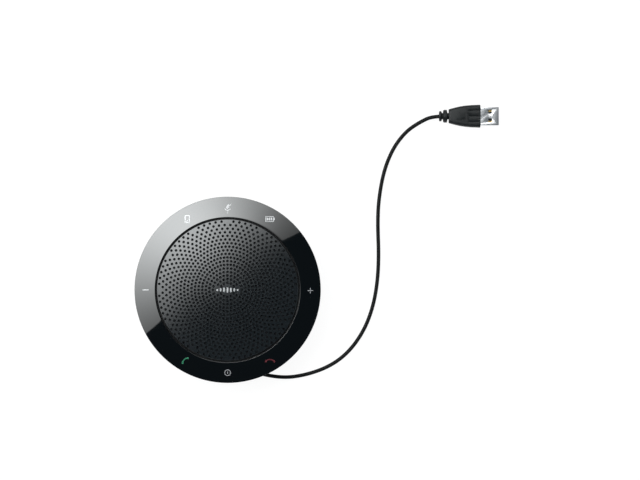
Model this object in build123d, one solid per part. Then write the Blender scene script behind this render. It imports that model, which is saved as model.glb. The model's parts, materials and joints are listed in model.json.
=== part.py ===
from build123d import *
from math import pi, radians, sqrt, tan
import os

# Conference speakerphone: a flat round puck with a perforated dome, a seamless ring of pressed keys,
# a winding channel round its base and a captive USB lead.  Millimetres, +Z up, origin on the table
# under the middle of the puck.

# ---------------------------------------------------------------- driving dimensions
PUCK_R = 60.0                 # outside radius, at the key ring
HEIGHT = 32.0                 # table to the top of the centre mark
GRILLE_R = 45.8               # outside radius of the perforated dome
GRILLE_RISE = 2.2             # how far the dome rises above its own edge
GRILLE_WALL = 0.8
MARK_STEP = 0.1               # the centre mark stands this far above the dome
MARK_BARS = (1.2, 2.0, 2.8, 3.4, 2.8, 2.0, 1.2)   # heights of its bars
MARK_PITCH, MARK_PEN = 2.2, 1.1
RING_INNER_R = 46.7           # inside radius of the key ring
RING_SLOPES = (5.6, 10.0)     # fall of its top at the inner and outer edge, degrees
KEY_R = 53.2                  # radius of the circle that the keys and switches lie on
KEY_ANGLES = {"volume_up": 0, "battery": 60, "mute": 90, "wireless": 120,
              "volume_down": 180, "answer": 240, "power": 270, "end": 300}
HUB_R = 47.6                  # drum that the lead is wound on
FLANGE_R = 53.5               # base plate under the winding channel
CORD_D = 2.5
CORD_LENGTH = 900.0           # whole lead, from the grommet to the plug
LEAVE_ANGLE = -102.0          # where the lead leaves the drum
LEAVE_Z = 5.95                # height of the lead where it leaves
PLUG_Z = 3.8                  # height of the plug's axis when it lies on the table
TILT_CLEARANCE = 0.5          # gap under the key ring

# ---------------------------------------------------------------- levels, from the table up
BASE_Z = 0.8                  # underside of the base plate
FLOOR_Z = 2.6                 # inside floor of the base plate
CHANNEL_Z = (3.8, 14.4)       # winding channel
BOARD_Z = 8.3                 # underside of the main board
TUB_Z = 11.2                  # underside of the speaker tub
ROOF_Z = 16.0                 # top of the channel's roof
DECK_Z = (21.6, 23.0)         # deck under the keys
BAFFLE_Z = (24.6, 26.4)       # board that the speaker is screwed under
MICROPHONE_Z = 18.7           # middle of the microphone and of its port in the side wall
SHOULDER_Z = 25.15            # top edge of the upper shell
RING_EDGE_Z = 27.82           # outer edge of the key ring
RING_TOP_Z = 29.63            # inner edge of the key ring
DOME_TOP_Z = HEIGHT - MARK_STEP
DOME_SPHERE_R = (GRILLE_R ** 2 + GRILLE_RISE ** 2) / (2 * GRILLE_RISE)
WINDING_R = HUB_R + 0.2 + CORD_D / 2
TURN_RISE = CORD_D + 0.05     # rise of the lead in one turn on the drum
FOOT_R = (39.0, 45.0)         # foot ring
FOOT_FIT = 0.05               # gap on each side of it in its groove
POST_R = 43.2                 # circle of the frame's screw posts
POST_ANGLES = range(20, 360, 60)
EAR_ANGLES = (30, 150, 210, 330)
BASE_SCREW_ANGLES = (45, 135, 225, 315)
BASE_SCREW_R = 33.0

# route of the free lead over the table, from the drum to the plug, chosen by hand
FREE_ROUTE = [(-10.2, -48.0, LEAVE_Z), (1.5, -50.5, 6.1), (15.2, -53.4, 5.9), (34.1, -57.4, 1.25),
              (49.5, -55.9, 1.25), (65.6, -50.1, 1.25), (77.9, -40.9, 1.25), (87.6, -27.3, 1.25),
              (93.6, -12.3, 1.25), (96.8, 4.2, 1.25), (97.5, 22.0, 1.25), (96.8, 43.0, 1.25),
              (97.4, 58.7, 1.25), (100.8, 77.2, 1.25), (106.6, 92.2, 1.25), (115.2, 103.2, 1.25),
              (124.6, 109.4, 2.2), (132.8, 112.8, PLUG_Z), (141.5, 112.8, PLUG_Z)]
PLUG_Y = FREE_ROUTE[-1][1]
COLLAR_X = (137.1, 139.0, 139.7, 142.7, 143.6)   # small ring, gap, large ring, neck
OVERMOULD_X = (143.6, 157.0, 163.9)              # nose, full width, front face
OVERMOULD_W = (9.4, 14.8)
OVERMOULD_H = 2 * PLUG_Z
USB_SHELL = (12.0, 4.5, 12.0)                    # width, height and free length of a type A plug
USB_WALL = 0.35


# ---------------------------------------------------------------- small helpers
def disc(radius, low, high):
    """Upright cylinder between two heights."""
    return Pos(0, 0, low) * Cylinder(radius, high - low, align=(Align.CENTER, Align.CENTER, Align.MIN))


def ring(inner, outer, low, high):
    """Upright tube between two heights."""
    return disc(outer, low, high) - disc(inner, low - 1, high + 1)


def block(x, y, z):
    """Box given by its lowest and highest value along each axis."""
    return Pos(x[0], y[0], z[0]) * Box(x[1] - x[0], y[1] - y[0], z[1] - z[0], align=Align.MIN)


def turned(*edges):
    """Solid of revolution about Z from edges drawn as (radius, height)."""
    return revolve(Plane.XZ * make_face(Curve() + list(edges)), Axis.Z)


def turned_outline(*points):
    """Solid of revolution about Z from a straight-sided outline of (radius, height) points."""
    return revolve(Plane.XZ * make_face(Polyline(*points, close=True)), Axis.Z)


def round_about(shape, angles, radius):
    """Copies of one shape, moved out to a radius and turned to each angle."""
    return [Rot(0, 0, angle) * Pos(radius, 0, 0) * shape for angle in angles]


def screw(head_z, tip_z, head_r=1.9, shank_r=1.0, head_h=1.1):
    """Pan-head screw pointing up, its head's lower face at head_z."""
    head = disc(head_r, head_z, head_z + head_h)
    head = chamfer(head.edges().sort_by(Axis.Z)[0], head_h * 0.4)
    slot = block((-0.35, 0.35), (-1.2, 1.2), (head_z - 1, head_z + 0.45))
    cross = slot + Rot(0, 0, 90) * slot
    return head - cross + disc(shank_r, head_z + head_h, tip_z)


def dome_height(radius, drop=0.0):
    """Height of the dome's outside at a radius, or of a surface that runs this far under it."""
    sphere = DOME_SPHERE_R - drop
    return DOME_TOP_Z - DOME_SPHERE_R + sqrt(sphere ** 2 - radius ** 2)


def dome_shell(radius, outer_drop, inner_drop):
    """Round piece of a shell that follows the dome, between two depths under its outside."""
    half = radius / 2
    top = ThreePointArc((0, dome_height(0, outer_drop)), (half, dome_height(half, outer_drop)),
                        (radius, dome_height(radius, outer_drop)))
    low = ThreePointArc((0, dome_height(0, inner_drop)), (half, dome_height(half, inner_drop)),
                        (radius, dome_height(radius, inner_drop)))
    return turned(top, Line(top @ 1, low @ 1), low, Line(low @ 0, top @ 0))


def key_top(radius):
    """Height of the key ring's outside: its slope grows evenly from the inner to the outer edge."""
    start, end = (tan(radians(slope)) for slope in RING_SLOPES)
    reach, width = radius - RING_INNER_R, PUCK_R - RING_INNER_R
    return RING_TOP_Z - start * reach - (end - start) * reach ** 2 / (2 * width)


# ---------------------------------------------------------------- covers and frames
def make_grille():
    """Dome plate with a turned-down rim; it rests on the trim ring."""
    edge, bend = GRILLE_R - 0.9, 0.4
    shoulder = GRILLE_R - bend
    top = ThreePointArc((0, DOME_TOP_Z), (shoulder / 2, dome_height(shoulder / 2)),
                        (shoulder, dome_height(shoulder)))
    corner = TangentArc(top @ 1, (GRILLE_R, dome_height(shoulder) - bend), tangent=top % 1)
    low = ThreePointArc((edge, dome_height(edge, GRILLE_WALL)),
                        (edge / 2, dome_height(edge / 2, GRILLE_WALL)), (0, DOME_TOP_Z - GRILLE_WALL))
    rim = Polyline(corner @ 1, (GRILLE_R, 27.0), (edge, 27.0), low @ 0)
    return turned(top, corner, *rim.edges(), low, Line(low @ 1, top @ 0))


def make_centre_mark():
    """Upright bars of different heights, printed a little proud of the dome."""
    skin = dome_shell(10, -MARK_STEP, 0)
    bars = []
    for step, height in enumerate(MARK_BARS):
        place = (step - len(MARK_BARS) // 2) * MARK_PITCH
        bar = Pos(place, 0, 30) * extrude(SlotOverall(height, MARK_PEN, rotation=90), 4)
        bars.append(bar & skin)
    return bars


def make_grille_cloth():
    return dome_shell(GRILLE_R - 1.3, GRILLE_WALL + 0.05, GRILLE_WALL + 0.35)


def make_trim_ring():
    """Angle ring under the dome's rim, seen as the floor and wall of the groove."""
    return turned_outline((44.9, 26.4), (46.4, 26.4), (46.4, 29.2), (46.0, 29.2), (46.0, 27.0),
                          (44.9, 27.0))


def make_inner_frame():
    """Baffle, deck and the wall between them, with six screw posts."""
    body = turned_outline((30.0, BAFFLE_Z[0]), (44.9, BAFFLE_Z[0]), (44.9, DECK_Z[0]), (56.9, DECK_Z[0]),
                          (56.9, DECK_Z[1]), (46.4, DECK_Z[1]), (46.4, BAFFLE_Z[1]), (30.0, BAFFLE_Z[1]))
    for post in round_about(disc(2.2, ROOF_Z, BAFFLE_Z[0]), POST_ANGLES, POST_R):
        body += post
    body -= Rot(0, 0, 90) * block((48.4, 50.6), (-4, 4), (DECK_Z[0] - 1, DECK_Z[1] + 1))
    for cutter in make_frame_screws() + make_tub_screws() + make_driver_screws():
        body -= cutter
    return body


def make_upper_shell():
    """Outer skirt and the roof of the winding channel, in one moulding."""
    low, high = CHANNEL_Z[1], SHOULDER_Z
    outside = ThreePointArc((55.5, low + 0.8), (58.35, 19.6), (59.7, high))
    inside = ThreePointArc((57.9, high - 1.0), (56.55, 19.6), (54.0, ROOF_Z))
    body = turned(outside, Line(outside @ 1, (58.3, high)), Line((58.3, high), (57.9, high - 1.0)), inside,
                  Line(inside @ 1, (41.0, ROOF_Z)), Line((41.0, ROOF_Z), (41.0, low)),
                  Line((41.0, low), (54.7, low)), Line((54.7, low), outside @ 0))
    body -= Rot(0, 0, 90) * block((42.0, 44.6), (-4, 4), (low - 1, ROOF_Z + 1))
    body -= Pos(0, -56, MICROPHONE_Z) * Rot(90, 0, 0) * Cylinder(0.6, 12)
    for cutter in make_frame_screws():
        body -= cutter
    return body


def make_lower_shell():
    """Drum that the lead is wound on, with a screw ledge inside its top and bosses at its foot."""
    low, high = CHANNEL_Z
    body = ring(HUB_R - 1.8, HUB_R, low, high) + ring(41.0, HUB_R - 1.8, high - 2.0, high)
    boss_top = 6.4
    for angle in BASE_SCREW_ANGLES:
        arm = block((BASE_SCREW_R, HUB_R - 1), (-1.2, 1.2), (low, boss_top))
        body += Rot(0, 0, angle) * (arm + Pos(BASE_SCREW_R, 0) * disc(2.6, low, boss_top))
    body -= Rot(0, 0, 90) * block((42.0, 44.6), (-4, 4), (high - 3, high + 1))
    body -= make_cord_grommet()
    for cutter in make_frame_screws() + make_base_screws():
        body -= cutter
    return body


def make_base_plate():
    """Foot plate: the lower flange of the channel, hollowed inside, with a groove for the foot ring."""
    top = CHANNEL_Z[0]
    body = disc(FLANGE_R, BASE_Z, top)
    body = fillet(body.edges().filter_by(GeomType.CIRCLE), 1.2)
    body -= disc(HUB_R - 1.8, FLOOR_Z, top + 1)
    body -= ring(FOOT_R[0] - FOOT_FIT, FOOT_R[1] + FOOT_FIT, BASE_Z - 1, 1.6)
    body -= disc(28.0, BASE_Z - 1, BASE_Z + 0.25)
    for boss in round_about(disc(3.0, FLOOR_Z, top), BASE_SCREW_ANGLES, BASE_SCREW_R):
        body += boss
    for well in round_about(disc(2.3, BASE_Z - 1, 2.2), BASE_SCREW_ANGLES, BASE_SCREW_R):
        body -= well
    for cutter in make_base_screws():
        body -= cutter
    return body


def make_foot_ring():
    body = ring(*FOOT_R, 0, 1.6)
    return fillet(body.edges().filter_by(GeomType.CIRCLE).group_by(Axis.Z)[0], 0.5)


def make_rating_label():
    return disc(27.5, BASE_Z + 0.05, BASE_Z + 0.25)


def make_frame_screws():
    low = CHANNEL_Z[1] - 2.0
    return round_about(screw(low - 1.1, 21.0), POST_ANGLES, POST_R)


def make_base_screws():
    return round_about(screw(1.1, 6.0), BASE_SCREW_ANGLES, BASE_SCREW_R)


def make_tub_screws():
    return round_about(screw(21.7, 25.8), EAR_ANGLES, 42.0)


# ---------------------------------------------------------------- speaker
def make_speaker_tub():
    """Sealed chamber behind the speaker, with four screw ears."""
    body = disc(40.0, TUB_Z, BAFFLE_Z[0]) - disc(38.4, TUB_Z + 1.0, BAFFLE_Z[0] + 1)
    for ear in round_about(disc(2.4, 22.8, BAFFLE_Z[0]), EAR_ANGLES, 42.0):
        body += ear - disc(39.2, 20, 30)
    for cutter in make_tub_screws():
        body -= cutter
    return body


def make_driver_frame():
    """Basket: a flange, a sloping wall with four windows and a seat for the magnet."""
    seat_r = 13.2
    body = turned_outline((29.5, 23.9), (34.0, 23.9), (34.0, 22.7), (31.0, 22.7), (26.0, 19.0),
                          (20.0, 17.5), (seat_r, 17.5), (seat_r, 18.4), (19.8, 18.4), (24.6, 19.6),
                          (29.5, 22.9))
    for window in round_about(block((-3.0, 3.0), (-6, 6), (17.0, 22.4)), (0, 90, 180, 270), 26.0):
        body -= window
    for cutter in make_driver_screws():
        body -= cutter
    return body


def make_driver_screws():
    return round_about(screw(21.6, 25.6, head_r=1.5, shank_r=0.7), (45, 135, 225, 315), 32.5)


def make_driver_gasket():
    body = ring(30.2, 34.0, 24.2, BAFFLE_Z[0])
    for cutter in make_driver_screws():
        body -= cutter
    return body


def make_driver_surround():
    """Half roll between the cone and the frame, with a flat rim clamped under the gasket."""
    roll = ThreePointArc((25.4, 24.0), (27.6, 25.9), (29.8, 24.2))
    under = ThreePointArc((29.6, 23.95), (27.6, 25.5), (25.8, 24.0))
    body = turned(roll, Line(roll @ 1, (34.0, 24.2)), Line((34.0, 24.2), (34.0, 23.95)),
                  Line((34.0, 23.95), under @ 0), under, Line(under @ 1, roll @ 0))
    for cutter in make_driver_screws():
        body -= cutter
    return body


def make_driver_spider():
    return ring(9.8, 19.5, 18.45, 18.7)


def make_driver_cone():
    return turned_outline((9.8, 19.0), (25.6, 23.55), (25.6, 23.95), (9.8, 19.4))


def make_dust_cap():
    sphere, wall, top = 30.0, 0.3, 22.1
    shell = Pos(0, 0, top - sphere) * (Sphere(sphere) - Sphere(sphere - wall))
    return shell & disc(10.8, top - 5, top + 1)


def make_voice_coil():
    return ring(9.3, 9.7, 15.2, 19.4)


def make_driver_top_plate():
    return ring(10.1, 16.0, 15.9, 17.5)


def make_driver_magnet():
    return ring(11.5, 17.5, 13.7, 15.9)


def make_driver_yoke():
    return disc(17.0, 12.4, 13.7) + disc(8.9, 13.7, 17.5)


# ---------------------------------------------------------------- keys
def make_key_ring():
    """Seamless gloss ring, hollow underneath, with a lip at each edge."""
    inner = RING_INNER_R
    middle = (inner + PUCK_R) / 2
    top = ThreePointArc((inner, key_top(inner)), (middle, key_top(middle)), (PUCK_R, RING_EDGE_Z))
    low_edge = SHOULDER_Z + TILT_CLEARANCE
    rest = Polyline((PUCK_R, RING_EDGE_Z), (PUCK_R, 26.6), (59.8, low_edge), (58.5, low_edge),
                    (58.3, 26.5), (57.9, 26.75), (48.1, 28.05), (47.9, 26.95), (inner, 26.95),
                    (inner, key_top(inner)))
    body = turned(top, *rest.edges())
    edges = body.edges().filter_by(GeomType.CIRCLE)
    body = fillet([e for e in edges if abs(e.radius - PUCK_R) < 0.01 and e.center().Z > 27], 0.8)
    edges = body.edges().filter_by(GeomType.CIRCLE)
    return fillet([e for e in edges if abs(e.radius - inner) < 0.01 and e.center().Z > 29], 0.35)


def make_key_mat():
    """Silicone sheet with a pad above and a nib below each key."""
    body = ring(48.3, 57.4, 25.85, 26.4)
    for angle in KEY_ANGLES.values():
        body += Rot(0, 0, angle) * Pos(KEY_R, 0) * (disc(2.5, 26.3, 26.95) + disc(1.0, 25.45, 26.0))
    return body


def make_ring_board():
    """Circuit board under the keys."""
    return ring(47.2, 57.4, DECK_Z[1], 24.0)


def make_switch_bodies():
    """Low square switches, each with a bore for its plunger."""
    body = block((-1.8, 1.8), (-1.8, 1.8), (24.0, 25.0)) - disc(0.95, 24.3, 26)
    return round_about(body, KEY_ANGLES.values(), KEY_R)


def make_plunger():
    return disc(0.85, 24.65, 25.4)


def make_status_leds():
    return round_about(block((-0.4, 0.4), (-0.8, 0.8), (24.0, 24.6)), KEY_ANGLES.values(), 50.2)


# ---------------------------------------------------------------- electronics
def make_main_board():
    body = disc(40.5, BOARD_Z, BOARD_Z + 1.2)
    for angle in BASE_SCREW_ANGLES:
        body -= Rot(0, 0, angle) * Pos(38.5, 0) * disc(3.5, BOARD_Z - 1, BOARD_Z + 3)
    return body


def make_board_chips():
    top = BOARD_Z + 1.2
    return [block((x, x + w), (y, y + d), (top, top + h))
            for x, y, w, d, h in ((-6, -4, 9, 9, 1.0), (-22, 6, 6, 5, 0.9), (-20, -14, 5, 5, 0.9),
                                  (4, -24, 7, 4, 1.0), (10, 24, 4, 4, 0.8), (-10, 20, 6, 8, 1.1))]


def make_shield_can():
    top = BOARD_Z + 1.2
    return block((12, 28), (-8, 8), (top, top + 1.4)) - block((12.3, 27.7), (-7.7, 7.7), (top - 1, top + 1.1))


def make_board_connectors():
    """Sockets on the main board: for the keys, the battery, the speaker and the USB lead."""
    top = BOARD_Z + 1.2
    keys = block((-3.6, 3.6), (36.4, 39.2), (top, top + 1.2))
    battery = block((-34, -30), (-3, 3), (BOARD_Z - 2.6, BOARD_Z))
    speaker = block((30, 34), (14, 18), (top, top + 1.4))
    usb = Rot(0, 0, LEAVE_ANGLE - 30) * block((32.5, 36.0), (-3.4, 3.4), (top, top + 1.5))
    return [keys, battery, speaker, usb]


def make_ribbon_cable():
    """Flat cable from the board under the keys down to the main board."""
    width = (-3, 3)
    strip = block((49.35, 49.65), width, (18.85, DECK_Z[1])) + block((43.15, 49.65), width, (18.85, 19.15))
    strip += block((43.15, 43.45), width, (10.0, 19.15)) + block((39.2, 43.45), width, (9.9, 10.2))
    return Rot(0, 0, 90) * strip


def make_battery_pack():
    body = block((-25, 25), (-17, 17), (FLOOR_Z + 0.3, FLOOR_Z + 5.2))
    return fillet(body.edges().filter_by(Axis.X), 1.5)


def make_battery_pad():
    return block((-20, 20), (-12, 12), (FLOOR_Z, FLOOR_Z + 0.3))


def make_battery_lead():
    """Two wires from the pack to its socket."""
    wire = Pos(-27.5, 0, 6.4) * Rot(0, 90, 0) * Cylinder(0.5, 5.0)
    return [Pos(0, side, 0) * wire for side in (-0.9, 0.9)]


def make_microphone_capsule():
    return Pos(0, -51.5, MICROPHONE_Z) * Rot(90, 0, 0) * Cylinder(1.6, 2.0)


def make_microphone_boot():
    """Rubber sleeve that seals the microphone to its port in the side wall."""
    body = Pos(0, -53.5, MICROPHONE_Z) * Rot(90, 0, 0) * Cylinder(2.6, 8.0)
    body -= Pos(0, -50.5, MICROPHONE_Z) * Rot(90, 0, 0) * Cylinder(1.6, 4.0)
    body -= Pos(0, -54, MICROPHONE_Z) * Rot(90, 0, 0) * Cylinder(0.6, 8)
    skirt = turned(ThreePointArc((57.8, SHOULDER_Z - 1.0), (56.45, 19.6), (53.9, ROOF_Z)),
                   Line((53.9, ROOF_Z), (40, ROOF_Z)), Line((40, ROOF_Z), (40, SHOULDER_Z - 1.0)),
                   Line((40, SHOULDER_Z - 1.0), (57.8, SHOULDER_Z - 1.0)))
    return body & skirt


# ---------------------------------------------------------------- lead and plug
def corner_radii(points):
    """Largest arc that each corner's two runs allow, 0.45 of the shorter run on each side."""
    radii = []
    for before, here, after in zip(points, points[1:], points[2:]):
        a, b = Vector(*here) - Vector(*before), Vector(*after) - Vector(*here)
        half_turn = radians(a.get_angle(b)) / 2
        radii.append(0.45 * min(a.length, b.length) / tan(half_turn))
    return radii


def free_path():
    return FilletPolyline(*FREE_ROUTE, radius=corner_radii(FREE_ROUTE))


def make_usb_cord():
    path = free_path()
    return sweep(Plane(path @ 0, z_dir=path % 0) * Circle(CORD_D / 2), path=path)


def wound_turns():
    """Turns on the drum that take up what the free stretch leaves of the whole lead."""
    return (CORD_LENGTH - free_path().length) / sqrt((2 * pi * WINDING_R) ** 2 + TURN_RISE ** 2)


def start_height():
    """Height of the lead's axis where it comes out of the drum."""
    return LEAVE_Z + wound_turns() * TURN_RISE


def start_angle():
    """Direction, in degrees, in which the lead comes out of the drum."""
    return LEAVE_ANGLE - (wound_turns() % 1) * 360


def make_cord_winding():
    """Outer shape of the turns on the drum, cut back where the grommet stands and the lead leaves."""
    body = ring(HUB_R + 0.1, WINDING_R + CORD_D / 2, LEAVE_Z - CORD_D / 2, start_height() + CORD_D / 2)
    return body - make_cord_grommet() - make_usb_cord()


def make_cord_grommet():
    """Strain relief that brings the lead through the drum's wall and along it."""
    z = start_height()
    sleeve = Pos(0, -4.5, z) * Rot(90, 0, 0) * Cylinder(1.35, 9)
    through = block((43.5 - WINDING_R, 0.4), (-9.0, -4.2), (z - 1.2, z + 1.15))
    return Rot(0, 0, start_angle()) * Pos(WINDING_R, 0) * (sleeve + through)


def make_cord_clamp():
    """Small block that grips the lead inside the drum."""
    z = start_height()
    return Rot(0, 0, start_angle() - 8) * block((41.2, 43.2), (-3.2, 3.2), (z - 1.2, z + 1.0))


def along_plug(start, end, radius):
    """Round piece on the plug's axis between two places along X."""
    return Pos((start + end) / 2, PLUG_Y, PLUG_Z) * Rot(0, 90, 0) * Cylinder(radius, end - start)


def make_plug_collar():
    """Ribbed strain relief behind the plug, with a bore that the lead ends in."""
    a, b, c, d, e = COLLAR_X
    body = along_plug(a, b, 3.0) + along_plug(b, c, 2.2) + along_plug(c, d, 3.7) + along_plug(d, e, 2.9)
    return body - along_plug(a - 1, FREE_ROUTE[-1][0], CORD_D / 2 + 0.05)


def make_plug_overmould():
    """Moulded grip: it widens from its nose, then runs straight to the metal shell."""
    nose, full, front = OVERMOULD_X
    half_a, half_b = OVERMOULD_W[0] / 2, OVERMOULD_W[1] / 2
    middle = ((nose + full) / 2, (half_a + half_b) / 2 + 0.5)
    side = ThreePointArc((nose, half_a), middle, (full, half_b))
    other = ThreePointArc((full, -half_b), (middle[0], -middle[1]), (nose, -half_a))
    rest = Polyline((full, half_b), (front, half_b), (front, -half_b), (full, -half_b))
    plan = make_face(Curve() + [side, *rest.edges(), other, Line((nose, -half_a), (nose, half_a))])
    section = RectangleRounded(OVERMOULD_W[1], OVERMOULD_H, 2.0)
    bar = Pos(nose, 0, PLUG_Z) * extrude(Plane.YZ * section, front - nose)
    body = Pos(0, PLUG_Y, 0) * (extrude(plan, OVERMOULD_H) & bar)
    width, height, _ = USB_SHELL
    return body - block((front - 4, front + 1), (PLUG_Y - width / 2, PLUG_Y + width / 2),
                        (PLUG_Z - height / 2, PLUG_Z + height / 2))


def make_plug_shell():
    """Folded metal shell of the plug, with its two square windows on each face."""
    width, height, length = USB_SHELL
    front = OVERMOULD_X[2]
    y, z = (PLUG_Y - width / 2, PLUG_Y + width / 2), (PLUG_Z - height / 2, PLUG_Z + height / 2)
    body = block((front - 4, front + length), y, z)
    body = fillet(body.edges().filter_by(Axis.X), 0.5)
    body -= block((front - 3.5, front + length + 1), (y[0] + USB_WALL, y[1] - USB_WALL),
                  (z[0] + USB_WALL, z[1] - USB_WALL))
    for side in (-2.8, 2.8):
        body -= block((front + 5.2, front + 7.6), (PLUG_Y + side - 1.2, PLUG_Y + side + 1.2), (-1, 9))
    return body


def make_plug_tongue():
    width, height, length = USB_SHELL
    front = OVERMOULD_X[2]
    low = PLUG_Z - height / 2 + USB_WALL
    side = width / 2 - USB_WALL
    return block((front - 3.5, front + length - 0.4), (PLUG_Y - side, PLUG_Y + side), (low, low + 1.8))


def make_plug_contacts():
    front = OVERMOULD_X[2]
    top = PLUG_Z - USB_SHELL[1] / 2 + USB_WALL + 1.8
    contact = block((front + 1.0, front + 9.5), (-0.5, 0.5), (top, top + 0.1))
    return [Pos(0, PLUG_Y + y, 0) * contact for y in (-3.5, -1.0, 1.0, 3.5)]


NODES = {
    "grille": make_grille, "centre_mark": make_centre_mark, "grille_cloth": make_grille_cloth,
    "trim_ring": make_trim_ring, "inner_frame": make_inner_frame, "upper_shell": make_upper_shell,
    "lower_shell": make_lower_shell, "base_plate": make_base_plate, "foot_ring": make_foot_ring,
    "rating_label": make_rating_label, "frame_screws": make_frame_screws, "base_screws": make_base_screws,
    "tub_screws": make_tub_screws, "speaker_tub": make_speaker_tub, "driver_frame": make_driver_frame,
    "driver_screws": make_driver_screws, "driver_gasket": make_driver_gasket,
    "driver_surround": make_driver_surround, "driver_spider": make_driver_spider,
    "driver_cone": make_driver_cone, "dust_cap": make_dust_cap, "voice_coil": make_voice_coil,
    "driver_top_plate": make_driver_top_plate, "driver_magnet": make_driver_magnet,
    "driver_yoke": make_driver_yoke, "key_ring": make_key_ring, "key_mat": make_key_mat,
    "ring_board": make_ring_board, "switch_bodies": make_switch_bodies, "status_leds": make_status_leds,
    "main_board": make_main_board, "board_chips": make_board_chips, "shield_can": make_shield_can,
    "board_connectors": make_board_connectors, "ribbon_cable": make_ribbon_cable,
    "battery_pack": make_battery_pack, "battery_pad": make_battery_pad, "battery_lead": make_battery_lead,
    "microphone_capsule": make_microphone_capsule, "microphone_boot": make_microphone_boot,
    "cord_grommet": make_cord_grommet, "cord_clamp": make_cord_clamp, "cord_winding": make_cord_winding,
    "usb_cord": make_usb_cord, "plug_collar": make_plug_collar, "plug_overmould": make_plug_overmould,
    "plug_shell": make_plug_shell, "plug_tongue": make_plug_tongue, "plug_contacts": make_plug_contacts,
}

os.makedirs("parts", exist_ok=True)
for name, make in NODES.items():
    shape = make()
    if isinstance(shape, list):
        shape = Compound(children=[piece.solid() for piece in shape])
    export_step(shape, f"parts/{name}.step")
for name, angle in KEY_ANGLES.items():
    export_step(Rot(0, 0, angle) * Pos(KEY_R, 0) * make_plunger(), f"parts/{name}_plunger.step")

path = free_path()
tube = make_usb_cord()
print("free lead", round(path.length, 1), "mm; radii", [round(r, 1) for r in corner_radii(FREE_ROUTE)])
print("tube volume / (section x length):", round(tube.volume / (pi * CORD_D ** 2 / 4 * path.length), 4))
print("turns on the drum", round(wound_turns(), 3))
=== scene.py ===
import json
from math import atan2, ceil, cos, degrees, hypot, pi, radians, sin, sqrt, tan

import bpy
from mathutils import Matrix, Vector


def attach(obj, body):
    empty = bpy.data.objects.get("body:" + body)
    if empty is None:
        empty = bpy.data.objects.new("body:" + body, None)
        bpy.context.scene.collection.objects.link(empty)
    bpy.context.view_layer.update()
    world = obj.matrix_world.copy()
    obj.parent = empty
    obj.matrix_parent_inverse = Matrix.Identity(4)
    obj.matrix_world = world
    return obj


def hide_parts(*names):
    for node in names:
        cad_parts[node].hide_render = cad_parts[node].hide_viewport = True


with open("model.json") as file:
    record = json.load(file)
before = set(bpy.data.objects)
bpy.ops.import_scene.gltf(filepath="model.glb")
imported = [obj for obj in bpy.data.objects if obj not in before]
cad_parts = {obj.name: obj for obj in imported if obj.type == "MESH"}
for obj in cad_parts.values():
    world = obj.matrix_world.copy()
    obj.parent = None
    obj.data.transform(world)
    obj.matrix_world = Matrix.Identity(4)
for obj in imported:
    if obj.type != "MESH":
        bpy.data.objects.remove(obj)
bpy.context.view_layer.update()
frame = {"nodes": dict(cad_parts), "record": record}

MM = 0.001

# ---------------------------------------------------------------- sizes of the puck, in metres
PUCK_R = 60.0 * MM
GRILLE_R = 45.8 * MM
GRILLE_RISE = 2.2 * MM
DOME_TOP = 31.9 * MM
DOME_SPHERE_R = (GRILLE_R ** 2 + GRILLE_RISE ** 2) / (2 * GRILLE_RISE)
KEY_IN_R = 46.7 * MM
KEY_TOP = 29.63 * MM
KEY_SLOPES = (5.6, 10.0)          # fall of the key ring at its inner and outer edge, in degrees
HOLE_R = 0.86 * MM
HOLE_SIDES = 16
CELL_HALF = 0.97 * MM             # half the width of a ring of cells
HOLE_PITCH = 2.32 * MM            # from one ring of holes to the next
# holes in each ring, counted from the middle; the rings outside these have OUTER_COUNT
HOLE_COUNTS = {2: 12, 3: 18, 4: 24, 5: 30, 6: 36, 7: 48, 8: 48, 9: 60, 10: 60, 11: 60}
OUTER_COUNT, LAST_RING = 72, 19
OFFSET_RINGS = (10, 12, 14, 16, 18)  # turned by half a hole
MARK_PATCH = (8.3 * MM, 2.3 * MM)  # no holes under the centre mark

# ---------------------------------------------------------------- the lead
CORD_D = 2.5 * MM
CORD_LENGTH = 0.900
FREE_LENGTH = 0.2748
WINDING_R = 49.05 * MM
TURN_RISE = CORD_D + 0.05 * MM
LEAVE_ANGLE = radians(-102.0)
LEAVE_Z = 5.95 * MM
TABLE_Z = CORD_D / 2
PLUG_Z = 3.8 * MM
PLUG_Y = 112.8 * MM
ROUTE = [(0.0015, -0.0505, 0.0061), (0.0152, -0.0538, 0.0059), (0.0341, -0.05802, TABLE_Z),
         (0.0496, -0.05622, TABLE_Z), (0.0658, -0.0505, TABLE_Z), (0.0782, -0.0412, TABLE_Z),
         (0.0880, -0.0275, TABLE_Z), (0.0939, -0.0124, TABLE_Z), (0.0970, 0.0042, TABLE_Z),
         (0.0979, 0.0220, TABLE_Z), (0.0971, 0.0430, TABLE_Z), (0.0978, 0.0587, TABLE_Z),
         (0.1011, 0.0771, TABLE_Z), (0.1071, 0.0919, TABLE_Z), (0.1155, 0.1029, TABLE_Z),
         (0.1248, 0.1091, 0.0022), (0.1328, PLUG_Y, PLUG_Z), (0.1415, PLUG_Y, PLUG_Z)]
WOUND_TURNS = (CORD_LENGTH - FREE_LENGTH) / sqrt((2 * pi * WINDING_R) ** 2 + TURN_RISE ** 2)
START_ANGLE = LEAVE_ANGLE - 2 * pi * WOUND_TURNS
START_Z = LEAVE_Z + TURN_RISE * WOUND_TURNS


# ================================================================ modelling helpers
def deselect_all():
    """Object mode with nothing selected, so that an operator only acts on what comes next."""
    if bpy.context.object and bpy.context.object.mode != "OBJECT":
        bpy.ops.object.mode_set(mode="OBJECT")
    bpy.ops.object.select_all(action="DESELECT")


def select_only(obj):
    deselect_all()
    obj.select_set(True)
    bpy.context.view_layer.objects.active = obj


def start(name):
    """Names the primitive that has just been added and opens it in edit mode."""
    obj = bpy.context.object
    obj.name = obj.data.name = name
    bpy.ops.object.mode_set(mode="EDIT")
    return obj


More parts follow.
